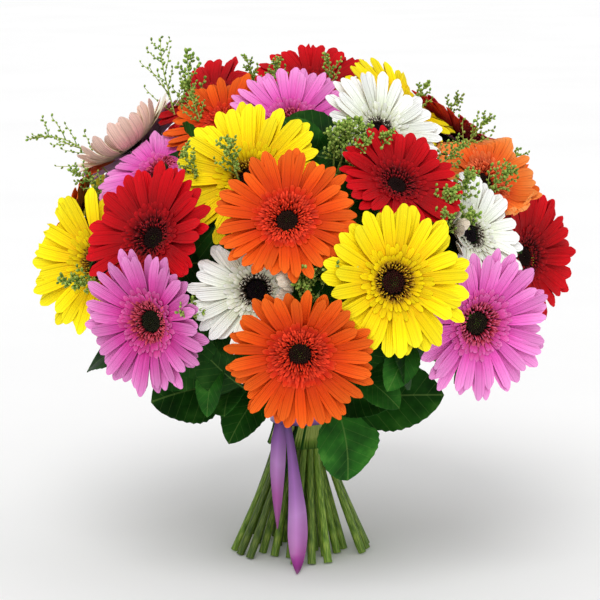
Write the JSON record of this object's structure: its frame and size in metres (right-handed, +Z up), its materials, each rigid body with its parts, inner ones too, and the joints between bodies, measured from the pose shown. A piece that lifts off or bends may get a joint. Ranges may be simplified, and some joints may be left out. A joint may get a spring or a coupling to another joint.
{
  "type": "gerbera bouquet",
  "caption": "Hand-tied bunch of gerbera daisies with a collar of leaves, fine sprigs and a satin ribbon, standing on its cut stems.",
  "frame": {"origin": "middle of the central stem's cut end, on the surface that the bunch stands on", "axes": "+Z up through the bunch; the front, with the ribbon's tails, faces -Y; +X to the right seen from the front"},
  "size_m": [0.4591, 0.455, 0.423],
  "materials": {
    "petal_orange": "matt petals",
    "petal_yellow": "matt petals",
    "petal_white": "matt petals",
    "petal_magenta": "matt petals",
    "petal_red": "velvety petals",
    "stem": "smooth ribbed skin",
    "leaf": "leathery, half gloss",
    "sprig": "matt",
    "ribbon": "satin"
  },
  "bodies": {
    "root": {"bloom_01_orange": "petal_orange", "bloom_02_yellow": "petal_yellow", "bloom_03_white": "petal_white", "bloom_04_magenta": "petal_magenta", "bloom_05_magenta": "petal_magenta", "bloom_06_orange": "petal_orange", "bloom_07_red": "petal_red", "bloom_08_red": "petal_red", "bloom_09_yellow": "petal_yellow", "bloom_10_white": "petal_white", "bloom_11_yellow": "petal_yellow", "bloom_12_red": "petal_red", "bloom_13_orange": "petal_orange", "bloom_14_orange": "petal_orange", "bloom_15_white": "petal_white", "bloom_16_yellow": "petal_yellow", "bloom_17_magenta": "petal_magenta", "bloom_18_orange": "petal_orange", "bloom_19_red": "petal_red", "bloom_20_red": "petal_red", "bloom_21_magenta": "petal_magenta", "bloom_22_white": "petal_white", "bloom_23_orange": "petal_orange", "bloom_24_red": "petal_red", "bloom_25_magenta": "petal_magenta", "bloom_26_yellow": "petal_yellow", "bloom_27_white": "petal_white", "bloom_28_magenta": "petal_magenta", "bloom_29_yellow": "petal_yellow", "bloom_30_red": "petal_red", "bloom_31_orange": "petal_orange", "bloom_32_magenta": "petal_magenta", "bloom_33_yellow": "petal_yellow", "leafy_01": "leaf", "leafy_02": "leaf", "leafy_03": "leaf", "leafy_04": "leaf", "leafy_05": "leaf", "leafy_06": "leaf", "leafy_07": "leaf", "ribbon": "ribbon", "sprig_01": "sprig", "sprig_02": "sprig", "sprig_03": "sprig", "sprig_04": "sprig", "sprig_05": "sprig", "sprig_06": "sprig", "sprig_07": "sprig", "stems_01": "stem", "stems_02": "stem", "stems_03": "stem", "stems_04": "stem", "stems_05": "stem", "stems_06": "stem", "stems_07": "stem", "stems_08": "stem", "stems_09": "stem", "stems_10": "stem", "stems_11": "stem", "stems_12": "stem"}
  },
  "joints": []
}
